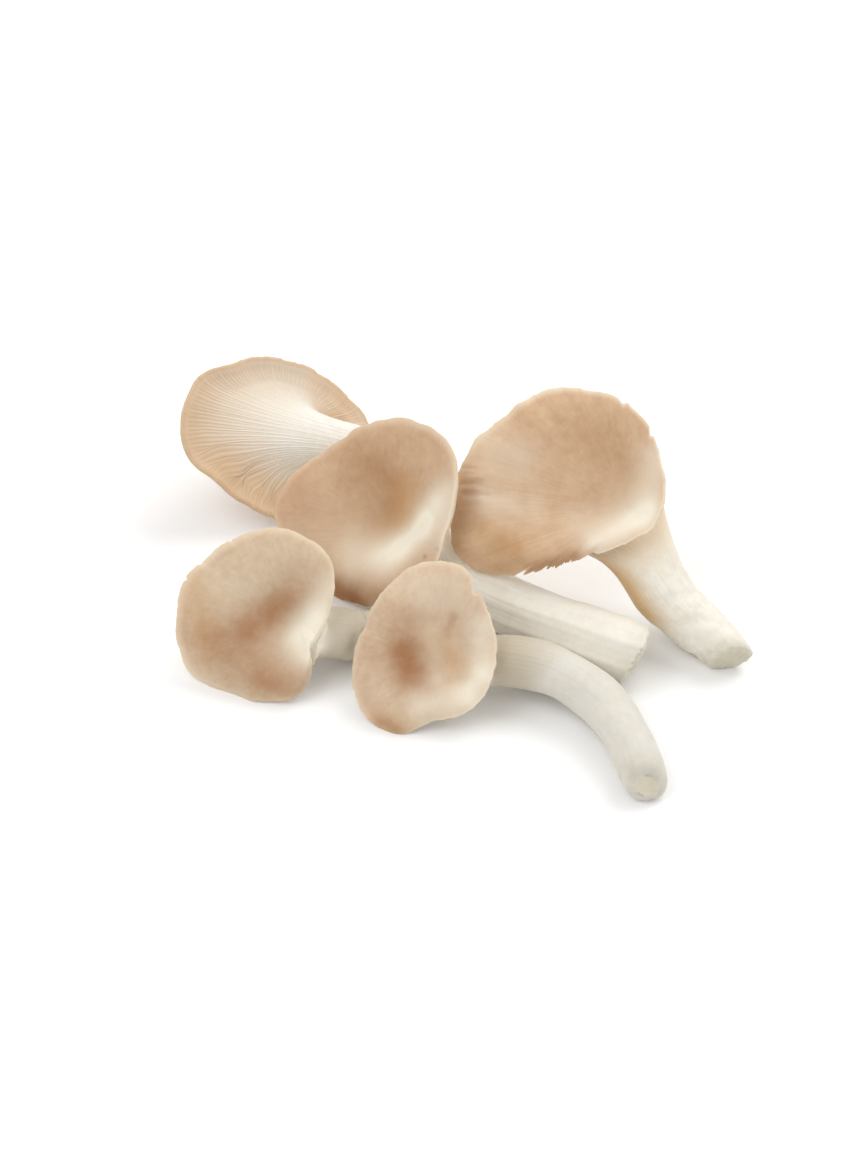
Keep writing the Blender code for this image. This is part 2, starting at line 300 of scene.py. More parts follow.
def growMushroom(name, form):
    layStem(form)
    random = np.random.default_rng(form["seed"])
    sides = form["sides"]
    turn = (np.arange(sides) / sides)[None, :]
    skinRows, gillRows, stemRows, cutRows = form["rows"]

    # stations down the mushroom: skin from hollow to rim, underside from rim to neck, stem, cut face
    skinShare = crowdedRows(skinRows, stations["skinCrowding"])
    lip = np.array(stations["lip"])
    gillShare = np.concatenate([lip, np.linspace(stations["underLip"], 0, gillRows - len(lip))])[:, None]
    down = crowdedRows(stemRows, stations["stemCrowding"])
    cutWidth = np.array(stations["cutWidths"])[:cutRows, None]

    rim = shapeRim(form, random, turn)
    skin = drawSkin(form, random, rim, turn, skinShare)
    clear = ease(*gillShape["foldClear"], rim["reach"])
    ridges = gillRidges(form, random, gillShare, sides) * clear
    stemRidges = ripple(random, turn, 0, form["stemRidges"], 0)
    under = drawGills(form, random, rim, turn, gillShare, ridges, stemRidges)

    # the stem: gills run out down it, then it has long ridges and soft lumps, and a rounded or torn end
    evenly = ease(0, stemShape["ridgesFull"], down)
    running = 1 - ease(0, stemShape["gillsRunOut"], down)
    knotty = down * stemShape["knots"]
    swell = ridges[-1:] * form["gillRun"] * running + stemRidges * (1 - evenly)
    swell = swell + ripple(random, turn, down, form["stemRidges"], stemShape["ridgeDrift"]) * evenly
    swell = swell + ripple(random, turn, knotty, form["stemKnots"], stemShape["knotDrift"]) * evenly
    rounded = 1 - np.sqrt(1 - np.clip((down - form["endBegins"]) / (1 - form["endBegins"]), 0, 1) ** 2)
    swell = swell - form["endRounding"] * rounded
    torn = np.abs(ripple(random, turn, 0, form["frayed"], 0))
    push = -torn * ease(stemShape["tearBegins"], 1, down)
    stem = stemPoint(form, form["neck"] + (1 - form["neck"]) * down, turn, swell=swell, push=push)
    pits = ripple(random, turn, cutWidth, form["cutPits"], stemShape["pitDrift"]) * cutWidth
    push = push[-1:] * cutWidth ** stemShape["tearFalls"] + pits + form["endDome"] * (1 - cutWidth**2)
    cut = stemPoint(form, np.ones_like(cutWidth), turn, swell=swell[-1:], push=push, width=cutWidth)

    rings = np.concatenate([skin, under, stem, cut])
    middle = np.zeros((1, 1))
    raised = strokes(middle, middle, form["relief"])[0, 0]
    hollow = skinPoint(form, middle, middle)[0, 0] + form["turned"][:, 2] * raised
    poles = (hollow, rings[-1].mean(axis=0))

    # what the finish needs to know at each point
    def spread(skinValue=0, gillValue=0, stemValue=0, cutValue=0):
        blocks = zip((skinValue, gillValue, stemValue, cutValue), form["rows"])
        return np.concatenate([np.broadcast_to(value, (rows, sides)) for value, rows in blocks])

    def marks(shade):
        share = skinShare if form["shown"] == "skin" else gillShare
        found = strokes(rim["x"] * share, rim["y"] * share, form[shade])
        return spread(found) if form["shown"] == "skin" else spread(0, found)

    blend = ease(form["join"], 0, gillShare)
    atRim = ease(*fades["rim"], gillShare)
    # painted shade: the spaces between the gills are darkened in colour, less at the very rim and towards
    # the stem
    gap = (1 - ridges) * ease(gillShape["begin"], gillShape["gapsFull"], gillShare)
    gap = gap * clear * ease(*fades["gaps"], gillShare)
    pale = closedCurve(form["rimPale"], turn)
    rimTan = closedCurve(form["rimTan"], turn) * ease(*fades["rimTan"], gillShare)
    # painted shade: a warm tan on the stem's shaded side and on the gills where they meet it, for the shade
    # and the light thrown back from the cap
    stemWarmShade = closedCurve(form["stemWarmShade"], turn)
    neckWarmShade = stemWarmShade * ease(*fades["stemWarmShade"], blend)
    stemWarmShade = stemWarmShade * (1 - ease(0, form["stemWarmShadeLength"], down))
    neckShade = form["neckShade"] * ease(*fades["neckShade"], blend)
    stemShade = form["neckShade"] * (1 - ease(0, form["neckShadeLength"], down))
    endShade = form["endShade"] * ease(*fades["endShade"], down)
    atNeck = fibreRun["neck"]
    atCut = atNeck + fibreRun["stem"]
    angle = 2 * math.pi * turn
    facts = {
        "ray": (
            spread(*[np.cos(angle)] * 4),
            spread(*[np.sin(angle)] * 4),
            spread(
                skinShare,
                atNeck - gillShare,
                atNeck + fibreRun["stem"] * down,
                atCut + fibreRun["cut"] * (1 - cutWidth),
            ),
        ),
        "parts": (
            spread(1, atRim),
            spread(0, (1 - atRim) * (1 - ease(*fades["gillsOut"], blend))),
            spread(0, 0, 0, ease(*fades["cut"], cutWidth)),
        ),
        "shades": (marks("brownAndShade"), marks("creamAndHighlight"), marks("rose")),
        "depths": (
            spread(0, gap),
            marks("goldAndShade"),
            spread(pale * ease(form["rimPaleFrom"], 1, skinShare), pale * atRim),
        ),
        "tones": (
            spread(0, rimTan + neckWarmShade, stemWarmShade),
            spread(0, neckShade, stemShade),
            spread(0, 0, endShade, form["endShade"]),
        ),
    }
    return meshOf(name, rings, poles, facts)


# a flat grid rolled round the rings, closed at both poles and welded along its seam
def meshOf(name, rings, poles, facts):
    count, sides = rings.shape[:2]
    half = 0.5
    bm = bmesh.new()
    bmesh.ops.create_grid(bm, x_segments=sides, y_segments=count + 1, size=half)
    mesh = bpy.data.meshes.new(name)
    bm.to_mesh(mesh)
    bm.free()
    points = np.zeros(len(mesh.vertices) * 3)
    mesh.vertices.foreach_get("co", points)
    points = points.reshape(-1, 3)
    side = np.rint((points[:, 0] + half) * sides).astype(int) % sides
    row = np.rint((points[:, 1] + half) * (count + 1)).astype(int)
    ring = np.clip(row - 1, 0, count - 1)
    placed = rings[ring, side]
    placed[row == 0] = poles[0]
    placed[row == count + 1] = poles[1]
    placed = (placed - np.array((*clusterMiddle, 0))) * mm
    mesh.vertices.foreach_set("co", placed.ravel())
    for fact, values in facts.items():
        layer = mesh.attributes.new(fact, "FLOAT_VECTOR", "POINT")
        vectors = np.stack([value[ring, side] for value in values], -1)
        layer.data.foreach_set("vector", vectors.ravel())

    bm = bmesh.new()
    bm.from_mesh(mesh)
    bmesh.ops.remove_doubles(bm, verts=bm.verts, dist=closeness["weld"])

    # the flat spots where it lies on the table
    everything = bm.verts[:] + bm.edges[:] + bm.faces[:]
    table = {"plane_co": (0, 0, 0), "plane_no": (0, 0, -1), "clear_outer": True}
    bmesh.ops.bisect_plane(bm, geom=everything, dist=closeness["table"], **table)
    cutEdges = [edge for edge in bm.edges if edge.is_boundary]
    bmesh.ops.triangle_fill(bm, edges=cutEdges, use_beauty=True)
    bmesh.ops.recalc_face_normals(bm, faces=bm.faces)
    for face in bm.faces:
        face.smooth = True
    bm.to_mesh(mesh)
    left = sum(edge.is_boundary for edge in bm.edges)
    bm.free()
    print(name, "faces", len(mesh.polygons), "open edges", left)
    piece = bpy.data.objects.new(name, mesh)
    bpy.context.scene.collection.objects.link(piece)
    return piece


# Finishes: tint takes a colour as a screen shows it, in parts of 255, and gives a shader's linear values
def tint(red, green, blue):
    values = (channel / 255 for channel in (red, green, blue))
    return (*(v / 12.92 if v <= 0.04045 else ((v + 0.055) / 1.055) ** 2.4 for v in values), 1)


def put(nodes, kind, inputs=None, **settings):
    node = nodes.new(kind)
    for name, value in settings.items():
        setattr(node, name, value)
    for name, value in (inputs or {}).items():
        if isinstance(value, bpy.types.NodeSocket):
            node.id_data.links.new(value, node.inputs[name])
        else:
            node.inputs[name].default_value = value
    return node


def mixColour(nodes, share, first, second, kind="MIX"):
    given = {0: share, 6: first, 7: second}  # 6, 7 and 2 are the mix node's colour sockets
    return put(nodes, "ShaderNodeMix", given, data_type="RGBA", blend_type=kind).outputs[2]


def calculate(nodes, operation, first, second=0.0, clamp=False):
    given = {0: first, 1: second}
    return put(nodes, "ShaderNodeMath", given, operation=operation, use_clamp=clamp).outputs[0]


def reckon(nodes, operation, first, second):
    given = {0: first, ("Scale" if operation == "SCALE" else 1): second}
    return put(nodes, "ShaderNodeVectorMath", given, operation=operation).outputs[0]


def scaleTo(nodes, value, low, high, toLow, toHigh):
    given = {"Value": value, "From Min": low, "From Max": high, "To Min": toLow, "To Max": toHigh}
    return put(nodes, "ShaderNodeMapRange", given).outputs[0]


def noise(nodes, place, scale, detail, roughness):
    given = {"Vector": place, "Scale": scale, "Detail": detail, "Roughness": roughness}
    return put(nodes, "ShaderNodeTexNoise", given).outputs


# Each pattern's repeats in a metre or along the fibres, with its detail and roughness. Clouds have a size of
# their own on each mushroom.
patterns = {
    "stray": (140.0, 2.0, 0.5),
    "broad": (1.0, 5.0, 0.62),
    "fine": (4.3, 3.0, 0.6),
    "cloud": (4.0, 0.55),
    "blotch": (330.0, 4.0, 0.6),
    "pores": (2600.0, 3.0, 0.65),
}


def makeFibreGroup():
    group = bpy.data.node_groups.new("fibreStreaks", "ShaderNodeTree")
    group.interface.new_socket("Ray", in_out="INPUT", socket_type="NodeSocketVector")
    for name in ("Fineness", "Length", "Bend"):
        group.interface.new_socket(name, in_out="INPUT", socket_type="NodeSocketFloat")
    for name in ("Streaks", "Threads"):
        group.interface.new_socket(name, in_out="OUTPUT", socket_type="NodeSocketFloat")
    nodes = group.nodes
    given = put(nodes, "NodeGroupInput").outputs
    place = put(nodes, "ShaderNodeTexCoord").outputs["Object"]
    stray = noise(nodes, place, *patterns["stray"])["Color"]
    stray = reckon(nodes, "SUBTRACT", stray, (0.5, 0.5, 0.5))
    stray = reckon(nodes, "SCALE", stray, given["Bend"])
    axes = {"X": given["Fineness"], "Y": given["Fineness"], "Z": given["Length"]}
    stretch = put(nodes, "ShaderNodeCombineXYZ", axes).outputs[0]
    drawn = reckon(nodes, "MULTIPLY", given["Ray"], stretch)
    drawn = reckon(nodes, "ADD", drawn, stray)
    broad = noise(nodes, drawn, *patterns["broad"])[0]
    fine = noise(nodes, drawn, *patterns["fine"])[0]
    put(nodes, "NodeGroupOutput", {"Streaks": broad, "Threads": fine})
    return group


def makeMottleGroup():
    group = bpy.data.node_groups.new("fleshMottle", "ShaderNodeTree")
    group.interface.new_socket("Size", in_out="INPUT", socket_type="NodeSocketFloat")
    for name in ("Cloud", "Blotch", "Pores"):
        group.interface.new_socket(name, in_out="OUTPUT", socket_type="NodeSocketFloat")
    nodes = group.nodes
    size = put(nodes, "NodeGroupInput").outputs["Size"]
    place = put(nodes, "ShaderNodeTexCoord").outputs["Object"]
    cloud = noise(nodes, place, size, *patterns["cloud"])[0]
    blotch = noise(nodes, place, *patterns["blotch"])[0]
    pores = noise(nodes, place, *patterns["pores"])[0]
    put(nodes, "NodeGroupOutput", {"Cloud": cloud, "Blotch": blotch, "Pores": pores})
    return group


fibreStreaks = makeFibreGroup()
fleshMottle = makeMottleGroup()
print("node groups made:", fibreStreaks.name, fleshMottle.name)

flesh = {
    "stemLine": tint(206, 196, 176),
    "cut": tint(220, 211, 190),
    "endShade": tint(176, 172, 150),
    "neckShade": tint(186, 172, 146),
    # brown of the flesh; the same colour is also painted as shade in creases, hollows and between the caps
    "brownAndShade": tint(157, 100, 50),
    # pale cream of the flesh; the same colour is also painted as highlights on folds and ridges
    "creamAndHighlight": tint(242, 235, 217),
    "rose": tint(178, 128, 98),
    # golden tan of the flesh; the same colour is also painted as shade in the centre cap's hollow and along
    # the back stem's top edge
    "goldAndShade": tint(200, 158, 108),
    "pale": tint(230, 214, 190),
    # tan of the gills towards the rim, and the same tan painted as warm shade at the neck and down the
    # stem's shaded side
    "rimTanAndWarmShade": tint(208, 175, 132),
    "broken": (0.85, 1.12),  # how the clouds break up the marks
    "endPatches": (0.3, 1.0),
    "roughness": 0.62,
    "smoothPores": 0.08,
    "roughPores": 0.1,
    "bump": 0.3,
    "bumpDistance": 0.0003,
    "threadHeights": (0.5, 0.1),  # off the cut face and on it
    "poreHeight": 0.35,
    "blotchHeight": 0.6,
    "softLight": 0.2,
    "softRadius": (1.0, 0.72, 0.45),
    "softReach": 0.003,
    "specular": 0.3,
    "bend": 1.6,
}
# The part of each pattern's range that the finish spreads out.
ranges = {
    "streaks": (0.3, 0.7),
    "clouds": (0.35, 0.65),
    "blotches": (0.35, 0.7),
    "stemStreaks": (0.42, 0.72),
    "stemClouds": (0.4, 0.7),
    "endPatches": (0.4, 0.6),
    "pores": (0.3, 0.7),
}


def makeFinish(name, look):
    material = bpy.data.materials.new(name)
    material.use_nodes = True
    nodes = material.node_tree.nodes
    shader = nodes["Principled BSDF"]
    links = material.node_tree.links

    def fact(attribute):
        return put(nodes, "ShaderNodeAttribute", attribute_name=attribute).outputs["Vector"]

    def three(attribute):
        return put(nodes, "ShaderNodeSeparateXYZ", {0: fact(attribute)}).outputs

    onSkin, onGills, onCut = three("parts")
    brownAndShade, creamAndHighlight, rose = three("shades")
    gap, goldAndShade, rimPale = three("depths")
    rimTanAndWarmShade, neckShade, endShade = three("tones")
    given = {
        "Ray": fact("ray"),
        "Fineness": look["fineness"],
        "Length": look["length"],
        "Bend": flesh["bend"],
    }
    fibre = put(nodes, "ShaderNodeGroup", given, node_tree=fibreStreaks).outputs
    mottle = put(nodes, "ShaderNodeGroup", {"Size": look["cloudSize"]}, node_tree=fleshMottle).outputs

    def shown(pattern, kind):
        return scaleTo(nodes, pattern, *ranges[kind], 0.0, look[kind])

    patchy = calculate(nodes, "ADD", shown(mottle["Cloud"], "clouds"), shown(mottle["Blotch"], "blotches"))
    dark = calculate(nodes, "ADD", shown(fibre["Streaks"], "streaks"), patchy, clamp=True)
    skin = mixColour(nodes, dark, look["skin"], look["skinDark"])
    skin = mixColour(nodes, rimPale, skin, flesh["pale"])
    # painted shade between the gills: the gap tint is multiplied over the gill colour
    sunk = calculate(nodes, "MULTIPLY", gap, look["gapDepth"], clamp=True)
    # real tan towards the gills' rim, and painted warm shade at the neck
    gills = mixColour(nodes, rimTanAndWarmShade, look["gill"], flesh["rimTanAndWarmShade"])
    gills = mixColour(nodes, sunk, gills, look["gap"], "MULTIPLY")
    line = shown(fibre["Threads"], "stemStreaks")
    line = calculate(nodes, "ADD", line, shown(mottle["Blotch"], "stemClouds"))
    stem = mixColour(nodes, line, look["stem"], flesh["stemLine"])
    stem = mixColour(nodes, neckShade, stem, flesh["neckShade"])
    # painted warm shade down the stem's shaded side
    stem = mixColour(nodes, rimTanAndWarmShade, stem, flesh["rimTanAndWarmShade"])
    stem = mixColour(nodes, onCut, stem, flesh["cut"])
    endPatch = scaleTo(nodes, mottle["Cloud"], *ranges["endPatches"], *flesh["endPatches"])
    endPatch = calculate(nodes, "MULTIPLY", endShade, endPatch)
    stem = mixColour(nodes, endPatch, stem, flesh["endShade"])
    base = mixColour(nodes, onGills, stem, gills)
    base = mixColour(nodes, onSkin, base, skin)

    broken = scaleTo(nodes, patchy, 0.0, look["clouds"] + look["blotches"], *flesh["broken"])
    # colour marks over the base: brown and gold also paint shade in creases and hollows, cream also paints
    # highlights on folds
    for mask, shade in ((goldAndShade, "goldAndShade"), (rose, "rose"), (brownAndShade, "brownAndShade"), (creamAndHighlight, "creamAndHighlight")):
        share = calculate(nodes, "MULTIPLY", mask, broken, clamp=True)
        base = mixColour(nodes, share, base, flesh[shade])
    links.new(base, shader.inputs["Base Color"])

    pores = calculate(nodes, "MULTIPLY", mottle["Pores"], flesh["poreHeight"])
    threadHeight = scaleTo(nodes, onCut, 0.0, 1.0, *flesh["threadHeights"])
    threads = calculate(nodes, "MULTIPLY", fibre["Threads"], threadHeight)
    lumps = calculate(nodes, "MULTIPLY", mottle["Blotch"], flesh["blotchHeight"])
    height = calculate(nodes, "ADD", threads, pores)
    height = calculate(nodes, "ADD", height, lumps)
    bump = {"Strength": flesh["bump"], "Distance": flesh["bumpDistance"], "Height": height}
    links.new(put(nodes, "ShaderNodeBump", bump).outputs[0], shader.inputs["Normal"])
    smoothest = flesh["roughness"] - flesh["smoothPores"]
    roughest = flesh["roughness"] + flesh["roughPores"]
    rough = scaleTo(nodes, mottle["Pores"], *ranges["pores"], smoothest, roughest)
    links.new(rough, shader.inputs["Roughness"])
    shader.inputs["Subsurface Weight"].default_value = flesh["softLight"]
    shader.inputs["Subsurface Radius"].default_value = flesh["softRadius"]
    shader.inputs["Subsurface Scale"].default_value = flesh["softReach"]
    shader.inputs["Specular IOR Level"].default_value = flesh["specular"]
    return material


def dress(piece, node, material):
    piece.data.materials.clear()
    piece.data.materials.append(material)
    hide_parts(node)
    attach(piece, "root")


# What the mushrooms share. Measures are millimetres. Values that go round the cap, such as rim and lift, are
# evenly spaced. Waves are a count and a size. Notches are a place, a width and a depth. Relief and colours
# are strokes: from one place on the cap to another, then a width and a strength.
plainForm = {
    "gillStarts": (0.42, 0.66),  # of a middle and a short gill
    "gillSamples": 4,  # points across a gill
    "gillDepth": 0.6,
    "gillSway": 0.5,  # how far the gills wander, in points
    "gillTangle": (),  # strokes where they wander further
    "gillRun": 0.1,  # their height where they run down the stem
    "rimInward": ((7, 0.14), (17, 0.1), (29, 0.07), (53, 0.04)),
    "rimWaves": ((5, 0.25), (9, 0.2), (14, 0.12)),
    "notches": (),
    "fibres": ((13, 0.03), (37, 0.012), (61, 0.01), (97, 0.008)),
    "stemRidges": ((2, 0.16), (3, 0.12), (5, 0.06), (9, 0.035), (14, 0.02), (23, 0.015)),
    "stemKnots": ((1, 0.14), (2, 0.1), (4, 0.06), (7, 0.03)),
    "frayed": ((7, 0.2), (17, 0.15)),
    "cutPits": ((2, 0.25), (5, 0.1)),
    "endRounding": 0.8,
    "endBegins": 0.97,
    "endDome": 0.2,
    "endShade": 0,
    "rimTan": (0, 0, 0, 0),
    "stemWarmShade": (0, 0, 0, 0),
    "stemWarmShadeLength": 0.4,
    "neckShade": 0,
    "neckShadeLength": 0.5,
    "shown": "skin",  # the side that the strokes of colour are on
    "relief": (),
    "brownAndShade": (),
    "creamAndHighlight": (),
    "rose": (),
    "goldAndShade": (),
    "rimPale": (0.4, 0.4, 0.4, 0.4),
    "rimPaleFrom": 0.9,
}
plainLook = {
    "skin": tint(216, 196, 168),
    "skinDark": tint(174, 138, 102),
    "gill": tint(246, 238, 222),
    # multiplied over the gills as painted shade in the spaces between them
    "gap": tint(231, 217, 197),
    "stem": tint(230, 226, 214),
    "fineness": 26.0,
    "length": 6.0,
    "cloudSize": 60.0,
    "streaks": 0.16,
    "clouds": 0.3,
    "blotches": 0.2,
    "gapDepth": 0.8,
    "stemStreaks": 0.2,
    "stemClouds": 0.35,
}

mushroomLeft = {
    **plainForm,
    "seed": 11,
    "sides": 560,
    "rows": (60, 40, 34, 6),
    "place": (-39, -23.5, 16.5),
    "tilt": (42, -8),
    "middle": (-14.5, 5.5),
    "rim": (24.5, 29.5, 28, 24.5, 22.5, 23, 23.5, 25, 24, 25.5, 27, 21.5),
    "lift": (4, 4, 2, 0, -3, -3, 0, 4),
    "swell": (1, 3, 5, 6, 7, 6, 4, 1),
    "roll": (1, 1, 2, 2, 2, 2, 2, 3),
    "flesh": 8,
    "fleshFall": 1.2,
    "join": 0.8,
    "neck": 0.5,
    "stem": ((-38.5, -22, 15), (-34, -20, 12.5), (-27.5, -19, 10.5), (-22.5, -18, 8.5), (-17.5, -16.5, 6.5)),
    "girth": (9, 8.2, 7.8, 7.7, 7.4),
    "slant": (0, 0),
    "notches": (
        (0.905, 0.02, 1.2),
        (0.745, 0.012, 0.8),
        (0.403, 0.005, 0.8),
        (0.358, 0.006, 0.6),
        (0.278, 0.005, 0.6),
    ),
    "neckShade": 0.55,
    "neckShadeLength": 1.2,
    "relief": ((-8.3, 6.2, -3, 4, 5, -0.7), (1.5, -2, 8, -6, 2, 0.4)),
    "brownAndShade": (
        (-23, 0, -9, 6, 6, 0.26),
        (-7, 5, 5, 14, 6, 0.27),
        (-13, 2, -4, 9, 5.5, 0.36),
        (-33, 4, -18, -5, 8, 0.26),
        (-10, -13, -3, -13, 7, 0.42),
        (-22, -7, -12, -10, 7, 0.15),
        (-12, -14.5, -4, -18, 3, 0.2),
    ),
    "creamAndHighlight": (
        (11, 11, 5, 3, 4.5, 0.45),
        (5, 3, 0, -2, 4.5, 0.5),
        (0, -2, 1, -7, 4.5, 0.45),
        (6, -4, 4, -8, 3.5, 0.5),
    ),
    "goldAndShade": ((-30, 15, -29, 1, 5, 0.35),),
    "rimPale": (0.5, 0.5, 0.5, 0.6, 0.6, 0.6, 0.5, 0.5),
}

mushroomFront = {
    **plainForm,
    "seed": 23,
    "sides": 560,
    "rows": (60, 36, 46, 6),
    "place": (4, -35.5, 15.5),
    "tilt": (44, -8),
    "middle": (-6, 4.5),
    "rim": (21.5, 22.5, 26.5, 25, 21, 19.5, 21.5, 25, 27.5, 21.5, 22.5, 22),
    "lift": (5, 5, 3, 1, 0, 1, 2, 5),
    "swell": (0, 2, 4, 5, 5, 4, 3, 0),
    "roll": (0, 2, 2, 2, 2, 2, 1, 0),
    "flesh": 7,
    "fleshFall": 1.2,
    "join": 0.75,
    "neck": 0.25,
    "stem": (
        (6.5, -33.5, 13.5),
        (14.5, -32, 12.5),
        (23, -31.5, 12),
        (33, -33, 11),
        (42, -38, 10),
        (50, -45.5, 8.5),
        (55.5, -55.5, 7.5),
        (59, -66, 6.5),
        (61, -75.5, 6),
    ),
    "girth": (8, 7.6, 7.5, 7.6, 7.5, 7.3, 7, 6.7, 6.1),
    "slant": (-0.35, -0.13),
    "rimInward": ((9, 0.2), (19, 0.12), (41, 0.06)),
    "notches": ((0.1265, 0.017, 2.4), (0.116, 0.02, 0.6)),
    "frayed": ((3, 0.15), (7, 0.1)),
    "cutPits": ((2, 0.2), (5, 0.1)),
    "endRounding": 2.6,
    "endBegins": 0.955,
    "endDome": 1.1,
    "endShade": 0.6,
    "neckShade": 0.75,
    "neckShadeLength": 0.3,
    "stemKnots": ((1, 0.22), (2, 0.2), (4, 0.12), (7, 0.07)),
    "relief": (
        (-10.9, 2.5, -9.5, -2, 4.5, -1.1),
        (-5, 8, -3.5, -5, 2.4, 0.35),
        (3.4, 12, 1.7, 9.5, 1.3, -0.4),
        (-3, -6.5, 6.5, -5.5, 1.5, -0.5),
        (10, 4, 6.5, -8, 1.8, 0.6),
    ),
    # The first stroke darkens the hollow, partly brown flesh and partly painted shade; the third is painted
    # shade in a crease.
    "brownAndShade": (
        (-12, 3.2, -10.6, -1.5, 6, 0.62),
        (-11, 15, -9, -6, 6, 0.25),
        (3.7, 13, 1.3, 8, 1.5, 0.3),
        (-21, -16, -17, -18, 2.8, 0.5),
    ),
    # The first stroke is a painted highlight along the fold's ridge.
    "creamAndHighlight": (
        (-3.5, 9, -3.5, -4, 2.6, 0.18),
        (12, 9, 12, -3, 5, 0.42),
        (10, -5, 6, -9, 4.5, 0.42),
        (-8, -12, 5, -11, 5, 0.42),
        (-4, 22, 4, 21, 6, 0.2),
    ),
    "rose": ((-23.5, -7.5, -22, 2, 5, 0.2),),
    "goldAndShade": ((-3, 6, 5, -4, 5, 0.4), (-22, -14, -16, -17, 4, 0.3)),
    "rimPaleFrom": 0.92,
}

mushroomCentre = {
    **plainForm,
    "seed": 37,
    "sides": 640,
    "rows": (62, 32, 42, 6),
    "place": (-9.5, 14, 20),
    "tilt": (32, -36),
    "middle": (-9, 10.5),
    "rim": (39.5, 33.5, 26, 22.5, 26.5, 33, 30.5, 27, 27.5, 31, 33.5, 34.5),
    "lift": (11, 10, 8, 4, 0.5, 2.5, 6, 9),
    "swell": (1, 3, 4, 5, 6, 6, 3, 0),
    "roll": (0, 0, 1, 2, 2.5, 2.5, 1.5, 0.5),
    "flesh": 8,
    "fleshFall": 1.2,
    "join": 0.75,
    "neck": 0.3,
    "stem": (
        (-7, 15, 16),
        (2, 10, 12.5),
        (12.5, -0.5, 10),
        (26, -8.5, 9),
        (41, -16.5, 9),
        (52.5, -23, 9),
        (60.3, -26.8, 9),
    ),
    "girth": (10, 9.4, 8.8, 8.6, 8.9, 9.5, 9.3),
    "slant": (0.35, -0.15),
    "rimInward": ((11, 0.22), (23, 0.12), (47, 0.05)),
    "rimWaves": ((5, 0.3), (11, 0.25), (17, 0.15)),
    "stemRidges": ((2, 0.25), (3, 0.2), (5, 0.15), (9, 0.1), (14, 0.06), (23, 0.03)),
    "stemKnots": ((1, 0.2), (2, 0.14), (4, 0.1), (7, 0.06)),
    "frayed": ((2, 0.4), (5, 0.35), (11, 0.3), (19, 0.25), (31, 0.15)),
    "cutPits": ((2, 0.35), (5, 0.2), (7, 0.1)),
    "endRounding": 1.4,
    "endBegins": 0.975,
    "endDome": 1.4,
    "endShade": 0.35,
    "relief": ((16, 1, 0.3, -4, 3, 0.4), (4, 18, -1, 3, 4, -0.6)),
    # painted shade: the first two strokes darken the funnel's wall, the third the low front margin that
    # rolls under between the caps; the two dots are brown specks
    "brownAndShade": (
        (-2, 23, 3.5, 16, 8, 0.3),
        (4.5, 16.5, 1, 8, 4.5, 0.18),
        (-25, -8, -20, -17, 5, 0.95),
        (7.6, -12.2, 7.8, -12.4, 0.8, 0.7),
        (13, -12.5, 13.2, -12.4, 0.6, 0.5),
    ),
    "creamAndHighlight": (
        (16, 1, 10, -2.2, 5, 0.55),
        (10, -2.2, 0.3, -4, 4.8, 0.7),
        (0.3, -4, -6, -6, 5.5, 0.38),
        (-6, -6.5, -16, -5, 6, 0.34),
        (23, 1, 17, -12, 6, 0.5),
        (8, -9, -4, -9, 6, 0.12),
        (-14, 2, -9, -1, 6, 0.25),
        (-34, 14, -20, 3, 9, 0.15),
    ),
    "rose": ((-33, 19, -26, 24, 8, 0.25),),
    # painted shade in the funnel's hollow and on its left wall
    "goldAndShade": ((8, 11, 0, 3, 4.5, 0.55), (0, 3, -9, 0, 5, 0.3)),
    "rimPale": (0.7, 0.5, 0.4, 0.4, 0.3, 0.3, 0.3, 0.7),
}

